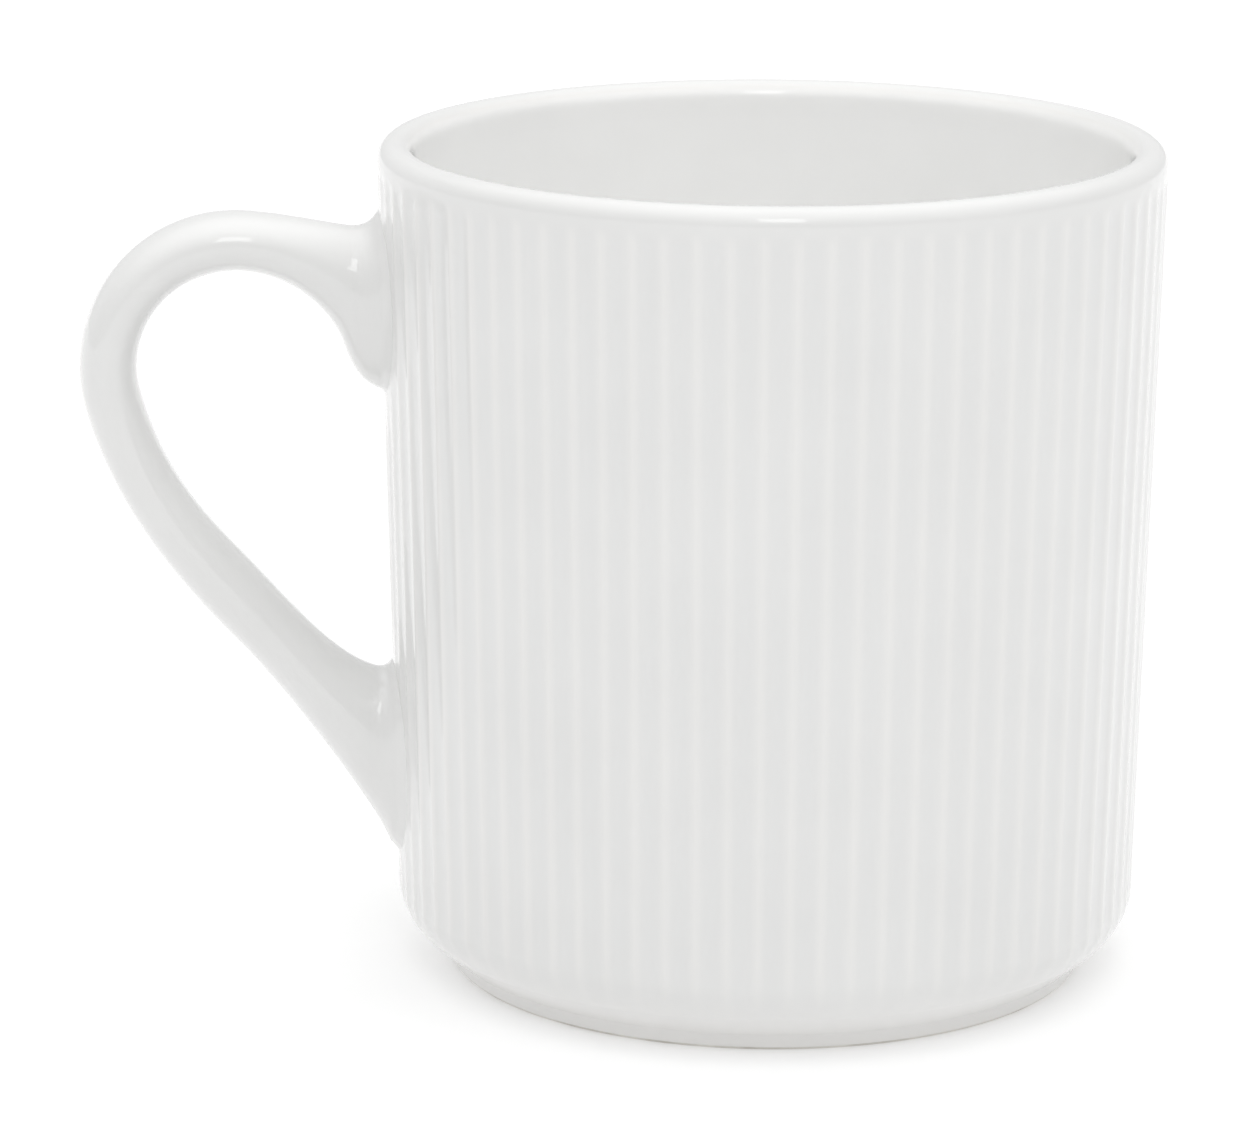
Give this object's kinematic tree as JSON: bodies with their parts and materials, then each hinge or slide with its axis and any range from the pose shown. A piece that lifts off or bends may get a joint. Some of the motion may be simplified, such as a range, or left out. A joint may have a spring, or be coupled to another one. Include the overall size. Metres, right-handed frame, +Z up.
{
  "type": "ceramic mug",
  "caption": "Straight-sided white porcelain mug with a finely fluted wall, a plain rim band, a chamfered base on a foot ring and a loop handle.",
  "frame": {"origin": "centre of the foot ring's resting face, on the cup's axis", "axes": "+Z up along the cup's axis, handle towards -X, X-Z is the handle's middle plane"},
  "size_m": [0.1156, 0.084, 0.09],
  "materials": {
    "glazed_porcelain": "clear gloss glaze over white porcelain, with the foot ring's face wiped bare",
    "handle_glaze": "clear gloss glaze over a cast white porcelain handle",
    "slip_glaze": "clear gloss glaze over a smoothed bead of white slip"
  },
  "bodies": {
    "root": {"body": "glazed_porcelain", "handle": "handle_glaze", "upper_joint": "slip_glaze", "lower_joint": "slip_glaze"}
  },
  "joints": []
}
